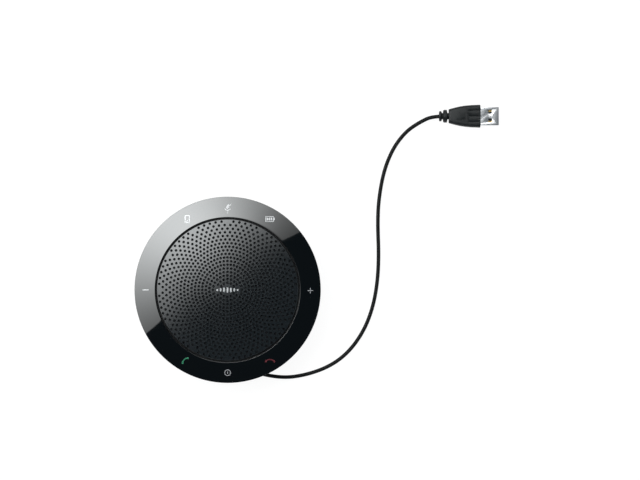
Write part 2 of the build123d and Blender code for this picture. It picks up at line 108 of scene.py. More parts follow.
def apply_place(obj):
    select_only(obj)
    bpy.ops.object.transform_apply(location=True, rotation=True, scale=True)
    return obj


def apply_modifier(obj, kind, **settings):
    """Adds one modifier, sets it up and applies it."""
    select_only(obj)
    modifier = obj.modifiers.new(kind.lower(), kind)
    for key, value in settings.items():
        setattr(modifier, key, value)
    bpy.ops.object.modifier_apply(modifier=modifier.name)
    return obj


def merge_and_face_out(obj, distance=1e-6):
    select_only(obj)
    bpy.ops.object.mode_set(mode="EDIT")
    bpy.ops.mesh.select_all(action="SELECT")
    bpy.ops.mesh.remove_doubles(threshold=distance)
    bpy.ops.mesh.normals_make_consistent(inside=False)
    bpy.ops.object.mode_set(mode="OBJECT")
    return obj


def smooth(obj, angle=35.0):
    select_only(obj)
    bpy.ops.object.shade_smooth_by_angle(angle=radians(angle))
    return obj


def bevel(obj, width, segments=3, angle=30.0):
    """Rounds every edge that is sharper than the angle."""
    return apply_modifier(obj, "BEVEL", width=width, segments=segments, limit_method="ANGLE",
                          angle_limit=radians(angle), use_clamp_overlap=True)


def cut(obj, tool):
    """Takes a tool's shape out of a piece."""
    apply_modifier(obj, "BOOLEAN", operation="DIFFERENCE", solver="EXACT", object=tool)
    bpy.data.objects.remove(tool)
    return obj


def joined(name, pieces):
    """Unites touching pieces in one closed shape."""
    first = pieces[0]
    for piece in pieces[1:]:
        apply_modifier(first, "BOOLEAN", operation="UNION", solver="EXACT", object=piece)
        bpy.data.objects.remove(piece)
    first.name = first.data.name = name
    return first


def round_edges(obj, along, width, segments):
    """Rounds the straight edges that run along one axis, 0, 1 or 2; the width is in mm."""
    select_only(obj)
    bpy.ops.object.mode_set(mode="EDIT")
    bpy.ops.mesh.select_mode(type="EDGE")
    bpy.ops.mesh.select_all(action="DESELECT")
    bpy.ops.object.mode_set(mode="OBJECT")
    for edge in obj.data.edges:
        a, b = (obj.data.vertices[i].co for i in edge.vertices)
        edge.select = abs(a[along] - b[along]) > 1e-5
    bpy.ops.object.mode_set(mode="EDIT")
    bpy.ops.mesh.bevel(offset=width * MM, segments=segments, affect="EDGES")
    bpy.ops.object.mode_set(mode="OBJECT")
    return obj


def rounded(outline):
    """Outline of (radius, height, corner radius) points in mm with its corners turned into arcs."""
    points = []
    count = len(outline)
    for i, (x, y, r) in enumerate(outline):
        here = Vector((x, y))
        to_last = Vector(outline[i - 1][:2]) - here
        to_next = Vector(outline[(i + 1) % count][:2]) - here
        if r == 0:
            points.append((x, y))
            continue
        half = to_last.angle(to_next) / 2
        reach = r / tan(half)
        a, b = here + to_last.normalized() * reach, here + to_next.normalized() * reach
        centre = here + (to_last.normalized() + to_next.normalized()).normalized() * (r / sin(half))
        turn = pi - 2 * half
        steps = max(2, ceil(degrees(turn) / 15))
        side = 1 if (a - centre).cross(b - centre) > 0 else -1
        for k in range(steps + 1):
            swing = side * turn * k / steps
            arm = a - centre
            points.append((centre.x + arm.x * cos(swing) - arm.y * sin(swing),
                           centre.y + arm.x * sin(swing) + arm.y * cos(swing)))
    return points


def turned(name, outline, segments=192, closed=True, axis="Z", centre=(0, 0)):
    """Turned piece: a circle is extruded and resized from point to point of an outline given in mm.
    A point on the axis closes that end."""
    points = [(r * MM, z * MM) for r, z in outline]
    deselect_all()
    radius, height = points[0]
    tip = 1e-5
    bpy.ops.mesh.primitive_circle_add(vertices=segments, radius=max(radius, tip), fill_type="NOTHING",
                                      location=(0, 0, height))
    obj = start(name)
    for next_radius, next_height in points[1:] + (points[:1] if closed else []):
        scale = max(next_radius, tip) / max(radius, tip)
        bpy.ops.mesh.extrude_edges_move(
            TRANSFORM_OT_translate={"value": (0, 0, next_height - height)})
        bpy.ops.transform.resize(value=(scale, scale, 1), center_override=(0, 0, next_height))
        radius, height = next_radius, next_height
    bpy.ops.object.mode_set(mode="OBJECT")
    apply_place(obj)
    merge_and_face_out(obj, 3e-5 if min(r for r, _ in points) < tip else 1e-6)
    if axis == "X":
        obj.rotation_euler = (0, pi / 2, 0)
        obj.location = (0, centre[0], centre[1])
        apply_place(obj)
    return smooth(obj)


def dome_height(radius):
    return DOME_TOP - DOME_SPHERE_R + sqrt(DOME_SPHERE_R ** 2 - radius ** 2)


def key_height(radius):
    """Top of the key ring at a radius: its slope grows evenly outwards."""
    first, last = (tan(radians(s)) for s in KEY_SLOPES)
    reach, width = radius - KEY_IN_R, PUCK_R - KEY_IN_R
    return KEY_TOP - first * reach - (last - first) * reach ** 2 / (2 * width)


def around(angle, radius, height=0.0):
    return (radius * cos(angle), radius * sin(angle), height)


# ================================================================ finishes
class Value:
    """A shader socket that takes part in ordinary arithmetic."""

    def __init__(self, finish, socket):
        self.finish, self.socket = finish, socket

    def maths(self, operation, *items):
        return self.finish.node("Math", {"operation": operation}, *items)

    def __add__(self, other):
        return self.maths("ADD", self, other)

    def __sub__(self, other):
        return self.maths("SUBTRACT", self, other)

    def __mul__(self, other):
        return self.maths("MULTIPLY", self, other)

    def __pow__(self, other):
        return self.maths("POWER", self, other)

    __radd__ = __add__


class Finish:
    """One material, built from named nodes."""

    def __init__(self, name, **sockets):
        self.material = bpy.data.materials.new(name)
        self.material.use_nodes = True
        self.tree = self.material.node_tree
        self.shader = self.tree.nodes["Principled BSDF"]
        self.set(**sockets)

    def set(self, **sockets):
        """Sets or links sockets of the main shader: base_color is Base Color, and so on."""
        for key, value in sockets.items():
            socket = self.shader.inputs[" ".join(word.capitalize() for word in key.split("_"))
                                        .replace("Ior", "IOR")]
            self.plug(socket, value)

    def plug(self, socket, value):
        if isinstance(value, Value):
            self.tree.links.new(value.socket, socket)
        elif isinstance(value, (tuple, list)) and len(value) == 3 and socket.type == "RGBA":
            socket.default_value = (*value, 1.0)
        else:
            socket.default_value = value

    def node(self, kind, settings=None, *values, out=0, **named):
        """Adds a node: its settings first, then its sockets in order or by name."""
        node = self.tree.nodes.new("ShaderNode" + kind)
        for key, value in (settings or {}).items():
            setattr(node, key, value)
        for socket, value in zip(node.inputs, values):
            self.plug(socket, value)
        for key, value in named.items():
            self.plug(node.inputs[key.replace("_", " ")], value)
        return Value(self, node.outputs[out])

    def place(self):
        """Object coordinates, which are the frame's own metres."""
        return self.node("TexCoord", out=3)

    def axes(self):
        place = self.place()
        return [self.node("SeparateXYZ", None, place, out=i) for i in range(3)]

    def noise(self, scale, detail=3.0, roughness=0.55, stretch=None):
        place = self.place()
        if stretch:
            place = self.node("Mapping", {}, place, Scale=stretch)
        return self.node("TexNoise", {"noise_dimensions": "3D"}, place, Scale=scale, Detail=detail,
                         Roughness=roughness)

    def grain(self, scale):
        """Small round cells, for powder paint and spark-eroded moulds."""
        return self.node("TexVoronoi", {"feature": "SMOOTH_F1"}, self.place(), Scale=scale, Smoothness=0.6)

    def mix(self, factor, first, second):
        """Blend of two colours."""
        node = self.tree.nodes.new("ShaderNodeMix")
        node.data_type = "RGBA"
        for socket, value in ((node.inputs[0], factor), (node.inputs[6], first), (node.inputs[7], second)):
            self.plug(socket, value)
        return Value(self, node.outputs[2])

    def bump(self, height, distance):
        self.set(normal=self.node("Bump", {}, Height=height, Distance=distance, Strength=1.0))
        return self


def scaled(colour, factor):
    return tuple(min(1.0, c * factor) for c in colour)


def moulded(name, colour, roughness, grain=2500.0, depth=1.5e-5, shift=0.25, **sockets):
    """Moulded plastic, rubber or card: a fine even texture with slow changes of shade and sheen."""
    f = Finish(name, **sockets)
    cloud = f.noise(45.0)
    cells = f.grain(grain)
    f.set(base_color=f.mix(cloud, scaled(colour, 1 - shift), scaled(colour, 1 + shift)),
          roughness=roughness - 0.06 + cloud * 0.1 + cells * 0.04)
    return f.bump(cells + f.noise(grain * 0.35) * 0.5, depth).material


def sheet_metal(name, colour, roughness=0.28, stretch=(60.0, 2600.0, 2600.0), depth=4e-6):
    """Rolled or plated metal: fine lines along one direction, with duller patches."""
    f = Finish(name, metallic=1.0)
    lines = f.noise(1.0, 4.0, 0.6, stretch=stretch)
    cloud = f.noise(160.0, 4.0)
    f.set(base_color=f.mix(cloud, scaled(colour, 0.82), scaled(colour, 1.12)),
          roughness=roughness - 0.08 + lines * 0.12 + cloud * 0.1)
    return f.bump(lines, depth).material


def woven(name, colour, pitch, sheen=0.25, depth=6e-5, **sockets):
    """Plain weave of round threads along X and Y."""
    f = Finish(name, roughness=0.9, **sockets)
    x, y, _ = f.axes()
    across = f.node("Math", {"operation": "SINE"}, x * (pi / pitch))
    along = f.node("Math", {"operation": "SINE"}, y * (pi / pitch))
    over = across * along * 0.5 + 0.5
    fuzz = f.noise(6000.0)
    f.set(base_color=f.mix(over * 0.7 + fuzz * 0.3, scaled(colour, 0.4), scaled(colour, 1.8)),
          sheen_weight=sheen, sheen_roughness=0.5)
    return f.bump(over + fuzz * 0.3, depth).material


def dome_paint():
    """Satin charcoal powder paint on the perforated plate."""
    f = Finish("dome_paint", specular_ior_level=0.78)
    cloud = f.noise(30.0, 2.0)
    cells = f.grain(5200.0)
    flake = f.noise(2400.0, 2.0, 0.7)
    f.set(base_color=f.mix(flake * 0.7 + cloud * 0.3, (0.0044, 0.0058, 0.0070), (0.0088, 0.0112, 0.0132)),
          roughness=0.14 + cells * 0.03 + cloud * 0.03)
    return f.bump(cells + flake * 0.6, 2.5e-6).material


def piano_black():
    """Polished black with a hard coat: faint swirl marks and a few specks of dust."""
    f = Finish("piano_black", ior=1.5, specular_ior_level=1.0)
    swirls = f.noise(260.0, 6.0, 0.7, stretch=(1.0, 1.0, 0.2))
    specks = f.node("TexVoronoi", {"feature": "F1"}, f.place(), Scale=420.0)
    dust = f.node("Math", {"operation": "LESS_THAN"}, specks, 0.035)
    f.set(roughness=0.02 + swirls * 0.02 + dust * 0.25,
          base_color=f.mix(dust, (0.0006, 0.0008, 0.0010), (0.012, 0.012, 0.013)))
    return f.bump(f.noise(35.0, 1.0), 1.5e-6).material


def print_with_painted_glow(name, colour, glow):
    """Printed window of a symbol with a painted glow: an almost even emission that brightens the print as
    painted light.
    """
    f = Finish(name, roughness=0.35)
    cloud = f.noise(900.0, 2.0)
    # painted light: the emission makes the print glow brighter than its colour alone, with no lamp behind it
    f.set(base_color=f.mix(cloud, scaled(colour, 0.85), scaled(colour, 1.05)),
          emission_color=f.mix(cloud, scaled(colour, 0.9), scaled(colour, 1.1)), emission_strength=glow)
    return f.bump(cloud, 3e-6).material


def cord_jacket():
    """Smooth black elastomer: faint draw lines and a waxy sheen."""
    f = Finish("cord_jacket", specular_ior_level=0.14)
    cloud = f.noise(120.0, 3.0)
    fine = f.noise(3200.0, 2.0)
    f.set(base_color=f.mix(cloud, (0.0020, 0.0025, 0.0026), (0.0046, 0.0052, 0.0054)),
          roughness=0.38 + cloud * 0.08 + fine * 0.06)
    return f.bump(fine + cloud, 6e-6).material


def circuit_board():
    """Green solder mask with straight copper tracks showing faintly through it."""
    f = Finish("circuit_board", coat_weight=0.4, coat_roughness=0.2)
    x, y, _ = f.axes()
    rows = f.node("Math", {"operation": "PINGPONG"}, x + f.noise(90.0, 0.0) * 0.004, 0.0011)
    tracks = f.node("Math", {"operation": "LESS_THAN"}, rows, 0.0003)
    cloud = f.noise(300.0)
    f.set(base_color=f.mix(tracks * 0.6 + cloud * 0.15, (0.006, 0.06, 0.022), (0.03, 0.2, 0.07)),
          roughness=0.32 + cloud * 0.1)
    return f.bump(tracks, 2e-5).material


def label_film():
    """Blank silver-grey label: a brushed ground with two plain darker circles."""
    f = Finish("label_film")
    x, y, _ = f.axes()
    radius = (x * x + y * y) ** 0.5
    border = f.node("Math", {"operation": "COMPARE"}, radius, 0.0258, 0.0003)
    inner = f.node("Math", {"operation": "COMPARE"}, radius, 0.0125, 0.00015)
    brushed = f.noise(1.0, 4.0, stretch=(80.0, 4000.0, 80.0))
    f.set(base_color=f.mix(border + inner, f.mix(brushed, (0.30, 0.31, 0.32), (0.40, 0.41, 0.42)),
                           (0.06, 0.06, 0.065)), roughness=0.38 + brushed * 0.15)
    return f.bump(brushed, 3e-6).material


FINISHES = {
    "grille_paint": dome_paint(),
    "mark_print": moulded("mark_print", (0.42, 0.425, 0.43), 0.5, 4000.0, 3e-6, 0.08),
    "acoustic_cloth": woven("acoustic_cloth", (0.0075, 0.0085, 0.0095), 0.00035, sheen=0.0,
                            specular_ior_level=0.2),
    "satin_black": moulded("satin_black", (0.004, 0.0045, 0.005), 0.42, 2200.0, 6e-6, specular_ior_level=0.2),
    "shell_plastic": moulded("shell_plastic", (0.0085, 0.009, 0.0105), 0.46, 2600.0, 1.4e-5),
    "foot_rubber": moulded("foot_rubber", (0.010, 0.010, 0.010), 0.75, 1800.0, 2e-5),
    "label_film": label_film(),
    "screw_steel": sheet_metal("screw_steel", (0.52, 0.52, 0.53), 0.3, (900.0, 900.0, 200.0)),
    "basket_paint": moulded("basket_paint", (0.012, 0.012, 0.012), 0.5, 2600.0, 8e-6),
    "foam": moulded("foam", (0.03, 0.03, 0.03), 0.9, 1500.0, 8e-5),
    "spider_cloth": woven("spider_cloth", (0.42, 0.28, 0.13), 0.0004),
    "zinc_plate": sheet_metal("zinc_plate", (0.58, 0.58, 0.6)),
    "ferrite": moulded("ferrite", (0.02, 0.02, 0.022), 0.55, 900.0, 2e-5),
    "board_laminate": circuit_board(),
    "switch_case": moulded("switch_case", (0.55, 0.55, 0.54), 0.5),
    "led_lens": moulded("led_lens", (0.85, 0.85, 0.8), 0.15, 800.0, 2e-6, 0.05),
    "chip_epoxy": moulded("chip_epoxy", (0.012, 0.012, 0.013), 0.55, 3000.0, 8e-6),
    "socket_nylon": moulded("socket_nylon", (0.68, 0.64, 0.52), 0.5),
    "ribbon_film": moulded("ribbon_film", (0.5, 0.22, 0.04), 0.25, 900.0, 5e-6),
    "battery_foil": sheet_metal("battery_foil", (0.6, 0.61, 0.63), 0.42, (400.0, 400.0, 400.0), 2e-5),
    "wire_sleeve": moulded("wire_sleeve", (0.4, 0.015, 0.012), 0.4),
    "cord_jacket": cord_jacket(),
    "plug_plastic": moulded("plug_plastic", (0.0038, 0.0054, 0.0060), 0.46, 3000.0, 8e-6,
                            specular_ior_level=0.28),
    "plug_metal": sheet_metal("plug_metal", (0.66, 0.66, 0.67), 0.32, (90.0, 2400.0, 2400.0)),
    "tongue_plastic": moulded("tongue_plastic", (0.012, 0.012, 0.012), 0.45),
    "gold_contact": sheet_metal("gold_contact", (0.85, 0.6, 0.22), 0.2),
    "key_gloss": piano_black(),
    "mat_silicone": moulded("mat_silicone", (0.004, 0.0045, 0.005), 0.6, 900.0, 1e-5, specular_ior_level=0.2),
    "cone_paper": moulded("cone_paper", (0.014, 0.014, 0.015), 0.8, 1400.0, 5e-5),
    "coil_wire": sheet_metal("coil_wire", (0.8, 0.36, 0.14), 0.3, (60.0, 60.0, 9000.0), 3e-5),
    "plunger_plastic": moulded("plunger_plastic", (0.02, 0.021, 0.023), 0.4),
}
# one white print in three tones: the pale and grey copies, darker and with less glow, carry painted shade for
# symbols where the light falls less
SYMBOL_WHITE = print_with_painted_glow("symbol_white", (0.42, 0.43, 0.435), 0.95)
SYMBOL_WHITE_PAINTED_HALF_SHADE = print_with_painted_glow("symbol_white_painted_half_shade", (0.33, 0.335, 0.34), 0.85)
SYMBOL_WHITE_PAINTED_SHADE = print_with_painted_glow("symbol_white_painted_shade", (0.20, 0.204, 0.212), 0.4)
SYMBOL_GREEN = print_with_painted_glow("symbol_green", (0.012, 0.12, 0.06), 0.4)
SYMBOL_RED = print_with_painted_glow("symbol_red", (0.075, 0.012, 0.016), 0.4)


def dress(obj, material):
    obj.data.materials.clear()
    obj.data.materials.append(material)


def add_piece(obj, body, slot, replaces=(), material=None):
    """Finishes a new piece and puts it on its body."""
    dress(obj, material or FINISHES[slot])
    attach(obj, body)
    if replaces:
        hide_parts(*replaces)
    return obj


# ================================================================ camera and lead
def place_camera():
    """Straight down from far off, with the puck at the lower left of the view."""
    rim, distance, width = 27.0 * MM, 2.0, 0.4124
    middle_x, middle_y = 0.0595, 0.0321
    data = bpy.data.cameras.new("camera")
    data.sensor_fit, data.sensor_width = "HORIZONTAL", 36.0
    data.lens = data.sensor_width * (distance - rim) / width
    data.clip_start, data.clip_end = 0.05, 50.0
    camera = bpy.data.objects.new("camera", data)
    camera.location = (middle_x, middle_y, distance)
    bpy.context.scene.collection.objects.link(camera)
    bpy.context.scene.camera = camera


def make_lead():
    """The whole lead as one smooth curve: its turns on the drum, then the listed route to the plug."""
    per_turn = 24
    step = 2 * pi / per_turn
    reach = WINDING_R / (0.75 + 0.25 * cos(step))
    turns = []
    angle = LEAVE_ANGLE
    while angle > START_ANGLE + step / 2:
        turns.append(around(angle, reach, LEAVE_Z + TURN_RISE * (LEAVE_ANGLE - angle) / (2 * pi)))
        angle -= step
    turns.append(around(START_ANGLE, reach, START_Z))
    tail = around(START_ANGLE - radians(5), WINDING_R + 0.2 * MM, START_Z)
    points = [tail] + turns[::-1] + ROUTE

    data = bpy.data.curves.new("usb_lead", "CURVE")
    data.dimensions = "3D"
    data.bevel_depth, data.bevel_resolution, data.resolution_u = CORD_D / 2, 5, 10
    data.use_fill_caps = True
    spline = data.splines.new("NURBS")
    spline.points.add(len(points) - 1)
    for point, place in zip(spline.points, points):
        point.co = (*place, 1.0)
    spline.order_u = 3
    spline.use_endpoint_u = True
    lead = bpy.data.objects.new("usb_lead", data)
    bpy.context.scene.collection.objects.link(lead)
    return add_piece(lead, "root", "cord_jacket", ("usb_cord", "cord_winding"))


place_camera()
lead = make_lead()


# ================================================================ dome
def hole_ring(number, count, offset):
    """One ring of cells, each a round hole's disc with a border that fills its share of the ring."""
    radius, half_angle = number * HOLE_PITCH, pi / count
    first = pi / 2 + (half_angle if offset else 0)
    deselect_all()
    bpy.ops.mesh.primitive_circle_add(vertices=HOLE_SIDES, radius=HOLE_R, fill_type="NGON",
                                      location=(radius, 0, 0))
    obj = start(f"hole_ring_{number}")
    bpy.ops.object.mode_set(mode="OBJECT")
    apply_place(obj)
    bpy.ops.object.mode_set(mode="EDIT")
    bpy.ops.mesh.select_all(action="SELECT")
    bpy.ops.mesh.select_mode(type="EDGE")
    bpy.ops.mesh.region_to_loop()
    bpy.ops.mesh.extrude_edges_move()
    bpy.ops.object.mode_set(mode="OBJECT")
    for vertex in obj.data.vertices:
        if vertex.select:
            u, v = vertex.co.x - radius, vertex.co.y
            reach = max(abs(u), abs(v))
            vertex.co = around(half_angle * v / reach, radius + CELL_HALF * u / reach)
    bpy.ops.object.mode_set(mode="EDIT")
    bpy.ops.mesh.select_all(action="SELECT")
    bpy.ops.mesh.spin(steps=count - 1, dupli=True, angle=2 * pi * (count - 1) / count, center=(0, 0, 0),
                      axis=(0, 0, 1))
    bpy.ops.object.mode_set(mode="OBJECT")
    obj.rotation_euler = (0, 0, first)
    apply_place(obj)
    return merge_and_face_out(obj, 2e-6)


def is_hole(number, place):
    """Whether a cell is pierced: not under the mark, and not at the twelve clock points of the last ring."""
    if abs(place.x) < MARK_PATCH[0] and abs(place.y) < MARK_PATCH[1]:
        return False
    turn = degrees(atan2(place.y, place.x)) % 30
    return number != LAST_RING or min(turn, 30 - turn) > 1


def loops_at(obj, radius, tolerance=2e-5):
    """Selects the edges that lie on one circle round the middle."""
    bpy.ops.object.mode_set(mode="OBJECT")
    mesh = obj.data
    on = [abs(hypot(v.co.x, v.co.y) - radius) < tolerance for v in mesh.vertices]
    for item in (mesh.vertices, mesh.edges, mesh.polygons):
        item.foreach_set("select", [False] * len(item))
    for edge in mesh.edges:
        edge.select = all(on[i] for i in edge.vertices)
    bpy.ops.object.mode_set(mode="EDIT")
    bpy.ops.mesh.select_mode(type="EDGE")


def make_dome():
    """Perforated dome: rings of cells bridged to each other, pierced, rimmed, domed and given a wall."""
    rings = []
    for number in range(2, LAST_RING + 1):
        count = HOLE_COUNTS.get(number, OUTER_COUNT)
        rings.append(hole_ring(number, count, number in OFFSET_RINGS))
    select_only(rings[0])
    for ring in rings[1:]:
        ring.select_set(True)
    bpy.ops.object.join()
    dome = rings[0]
    dome.name = dome.data.name = "perforated_dome"
    for number in range(2, LAST_RING):
        loops_at(dome, number * HOLE_PITCH + CELL_HALF)
        bpy.ops.object.mode_set(mode="OBJECT")
        inner = [e.select for e in dome.data.edges]
        loops_at(dome, (number + 1) * HOLE_PITCH - CELL_HALF)
        bpy.ops.object.mode_set(mode="OBJECT")
        for edge, chosen in zip(dome.data.edges, inner):
            if chosen:
                edge.select = True
        bpy.ops.object.mode_set(mode="EDIT")
        bpy.ops.mesh.bridge_edge_loops()
    loops_at(dome, 2 * HOLE_PITCH - CELL_HALF)
    bpy.ops.mesh.extrude_edges_move()
    bpy.ops.transform.resize(value=(0.5, 0.5, 1), center_override=(0, 0, 0))
    bpy.ops.mesh.edge_face_add()

    bpy.ops.mesh.select_mode(type="FACE")
    bpy.ops.object.mode_set(mode="OBJECT")
    for polygon in dome.data.polygons:
        centre = polygon.center
        number = round(hypot(centre.x, centre.y) / HOLE_PITCH)
        polygon.select = len(polygon.vertices) == HOLE_SIDES and number >= 2 and is_hole(number, centre)
    bpy.ops.object.mode_set(mode="EDIT")
    bpy.ops.mesh.delete(type="FACE")

    radius = LAST_RING * HOLE_PITCH + CELL_HALF
    loops_at(dome, radius)
    rim = [(45.15, 0.0), (45.3, 0.04), (45.39, 0.13), (45.42, 0.3), (45.44, 1.4)]
    drop = 0.0
    for next_radius, next_drop in rim:
        next_radius *= MM
        bpy.ops.mesh.extrude_edges_move(TRANSFORM_OT_translate={"value": (0, 0, (drop - next_drop) * MM)})
        bpy.ops.transform.resize(value=(next_radius / radius,) * 2 + (1,), center_override=(0, 0, 0))
        radius, drop = next_radius, next_drop
    bpy.ops.object.mode_set(mode="OBJECT")
    for vertex in dome.data.vertices:
        vertex.co.z += dome_height(min(hypot(vertex.co.x, vertex.co.y), 45.15 * MM))
    merge_and_face_out(dome)
    if max(dome.data.polygons, key=lambda p: p.center.z).normal.z < 0:
        bpy.ops.object.mode_set(mode="EDIT")
        bpy.ops.mesh.select_all(action="SELECT")
        bpy.ops.mesh.flip_normals()
        bpy.ops.object.mode_set(mode="OBJECT")
    apply_modifier(dome, "SOLIDIFY", thickness=0.7 * MM, offset=-1.0)
    smooth(dome, 40)
    return add_piece(dome, "root", "grille_paint", ("grille",))


# ================================================================ turned shells
def make_key_ring():
    """Gloss ring: a convex top, rounded edges and a hollow underside."""
    steps = 18
    top = []
    for k in range(1, steps):
        radius = KEY_IN_R + (PUCK_R - KEY_IN_R) * k / steps
        if 47.3 * MM < radius < 59.5 * MM:
            top.append((radius / MM, key_height(radius) / MM, 0))
    low = 25.65
    outline = [(46.7, key_height(KEY_IN_R) / MM, 0.2)] + top + [
        (60.0, key_height(PUCK_R) / MM, 0.16), (60.0, 26.5, 0.5), (59.75, low, 0.25), (58.6, low, 0.2),
        (58.3, 26.5, 0.2), (57.9, 26.75, 0.2), (48.1, 28.05, 0.2), (47.9, 26.95, 0.2), (46.7, 26.95, 0.2)]
    ring = turned("gloss_key_ring", rounded(outline), 256)
    apply_modifier(ring, "WEIGHTED_NORMAL", mode="FACE_AREA", weight=60, keep_sharp=True)
    return add_piece(ring, "key_ring", "key_gloss", ("key_ring",))


def make_trim_ring():
    """Ring in the groove: a lip that stands below the edges of the dome and the key ring."""
    outline = [(44.9, 26.4, 0), (46.45, 26.4, 0), (46.45, 28.6, 0.1), (46.1, 28.6, 0.1), (46.0, 27.0, 0),
               (44.9, 27.0, 0)]
    return add_piece(turned("groove_ring", rounded(outline)), "root", "satin_black", ("trim_ring",))


def make_skirt():
    """Upper shell: a bowed skirt with a shadow line under the key ring and the microphone's port."""
    outline = [(54.7, 14.4, 0.6), (55.5, 15.2, 0.6), (57.25, 17.5, 0), (58.35, 19.6, 0), (59.2, 22.2, 0),
               (59.68, 24.7, 0), (59.7, 25.15, 0.12), (58.3, 25.15, 0.15), (57.9, 24.1, 0), (57.3, 21.8, 0),
               (56.5, 19.6, 0), (55.4, 17.6, 0), (54.0, 16.0, 0.3), (48.2, 16.0, 0), (48.2, 14.4, 0.2)]
    skirt = turned("upper_skirt", rounded(outline))
    deselect_all()
    bpy.ops.mesh.primitive_cylinder_add(vertices=24, radius=0.6 * MM, depth=8 * MM,
                                        location=(0, -57 * MM, 18.7 * MM), rotation=(pi / 2, 0, 0))
    cut(skirt, apply_place(bpy.context.object))
    smooth(skirt, 30)
    return add_piece(skirt, "root", "shell_plastic", ("upper_shell",))


def make_base():
    """Base plate: rounded flange, groove for the foot, shallow seat for the label and four screw wells."""
    outline = [(0, 1.05, 0), (27.9, 1.05, 0), (28.1, 0.8, 0), (38.9, 0.8, 0.15), (38.95, 1.6, 0),
               (45.05, 1.6, 0), (45.1, 0.8, 0.15), (52.3, 0.8, 0.9), (53.5, 2.0, 0.8), (53.5, 3.0, 0.7),
               (52.7, 3.8, 0.5), (45.8, 3.8, 0), (45.8, 2.6, 0), (0, 2.6, 0)]
    base = turned("base_dish", rounded(outline), closed=False)
    for angle in (45, 135, 225, 315):
        deselect_all()
        bpy.ops.mesh.primitive_cylinder_add(vertices=40, radius=2.3 * MM, depth=3 * MM,
                                            location=around(radians(angle), 33 * MM, 0.7 * MM))
        cut(base, apply_place(bpy.context.object))
    smooth(base, 30)
    return add_piece(base, "root", "shell_plastic", ("base_plate",))


def make_foot():
    """Rubber foot ring with four fine grooves in its sole."""
    outline = [(39.0, 1.6, 0), (39.0, 0.25, 0.2), (39.3, 0.0, 0)]
    for groove in (40.4, 41.5, 42.6, 43.7):
        outline += [(groove - 0.2, 0.0, 0), (groove - 0.1, 0.2, 0), (groove + 0.1, 0.2, 0),
                    (groove + 0.2, 0.0, 0)]
    outline += [(44.7, 0.0, 0), (45.0, 0.25, 0.2), (45.0, 1.6, 0)]
    return add_piece(turned("rubber_foot", rounded(outline)), "root", "foot_rubber", ("foot_ring",))


def make_drum():
    """Outer wall of the lower shell, with a bead at its foot and at its head."""
    outline = [(45.8, 3.8, 0), (47.75, 3.8, 0), (47.75, 4.3, 0.15), (47.6, 4.6, 0), (47.6, 13.8, 0),
               (47.75, 14.1, 0), (47.75, 14.4, 0), (41.0, 14.4, 0), (41.0, 12.4, 0), (45.8, 12.4, 0)]
    return add_piece(turned("winding_drum", rounded(outline)), "root", "shell_plastic", ("lower_shell",))


# ================================================================ plug and strain reliefs
def make_collar():
    """Strain relief behind the plug: a thin ring and a thick one on a waisted neck, wider than it is high."""
    outline = [(1.3, 137.1, 0), (2.7, 137.1, 0.2), (3.0, 137.5, 0.3), (3.0, 138.6, 0.35), (1.8, 139.0, 0.15),
               (1.8, 139.5, 0.15), (3.4, 139.8, 0.4), (3.75, 140.4, 0.4), (3.75, 142.2, 0.35),
               (1.85, 142.6, 0.15), (1.85, 143.7, 0.1), (1.3, 143.7, 0)]
    widening = 1.12
    collar = turned("plug_strain_relief", rounded(outline), 64, axis="X", centre=(PLUG_Y, PLUG_Z))
    select_only(collar)
    bpy.ops.transform.resize(value=(1, widening, 1), center_override=(0, PLUG_Y, PLUG_Z))
    apply_place(collar)
    return add_piece(collar, "root", "plug_plastic", ("plug_collar",))


def block(name, low, high):
    """Box from its lowest and highest corner, in mm."""
    deselect_all()
    bpy.ops.mesh.primitive_cube_add(size=1, location=[(a + b) / 2 * MM for a, b in zip(low, high)],
                                    scale=[(b - a) * MM for a, b in zip(low, high)])
    obj = bpy.context.object
    obj.name = obj.data.name = name
    return apply_place(obj)


def plug_block(name, low, high):
    """Box on the plug, in mm: along X from the origin, across and up from the plug's middle line."""
    middle = (0, PLUG_Y / MM, PLUG_Z / MM)
    return block(name, [a + m for a, m in zip(low, middle)], [b + m for b, m in zip(high, middle)])


def make_grip():
    """Moulded grip: sections extruded from nose to front, rounded, then three grooves above and below and
    a mouth for the metal shell."""
    stations = [(143.4, 4.5, 2.9), (145.0, 4.95, 3.15), (147.5, 5.6, 3.4), (150.5, 6.3, 3.6),
                (154.0, 6.85, 3.72), (158.0, 7.2, 3.78), (162.2, 7.35, 3.8), (162.6, 7.4, 3.8),
                (163.9, 7.4, 3.8)]
    deselect_all()
    x, wide, high = stations[0]
    bpy.ops.mesh.primitive_plane_add(size=2, location=(x * MM, PLUG_Y, PLUG_Z), rotation=(0, pi / 2, 0))
    grip = start("plug_grip")
    bpy.ops.transform.resize(value=(1, wide * MM, high * MM), center_override=(x * MM, PLUG_Y, PLUG_Z))
    bpy.ops.mesh.select_all(action="SELECT")
    for next_x, next_wide, next_high in stations[1:]:
        bpy.ops.mesh.extrude_region_move(TRANSFORM_OT_translate={"value": ((next_x - x) * MM, 0, 0)})
        bpy.ops.transform.resize(value=(1, next_wide / wide, next_high / high),
                                 center_override=(next_x * MM, PLUG_Y, PLUG_Z))
        x, wide, high = next_x, next_wide, next_high
    bpy.ops.object.mode_set(mode="OBJECT")
    apply_place(grip)
    merge_and_face_out(grip)
    round_edges(grip, 0, 1.9, 6)

    for z in (-high, high):
        for y in (-3.7, 0.0, 3.7):
            cut(grip, plug_block("groove", (156.4, y - 0.22, z - 0.4), (163.0, y + 0.22, z + 0.4)))
    cut(grip, plug_block("mouth", (160.0, -6.0, -2.25), (165.0, 6.0, 2.25)))
    bevel(grip, 0.18 * MM, 2, 40)
    smooth(grip, 40)
    return add_piece(grip, "root", "plug_plastic", ("plug_overmould",))


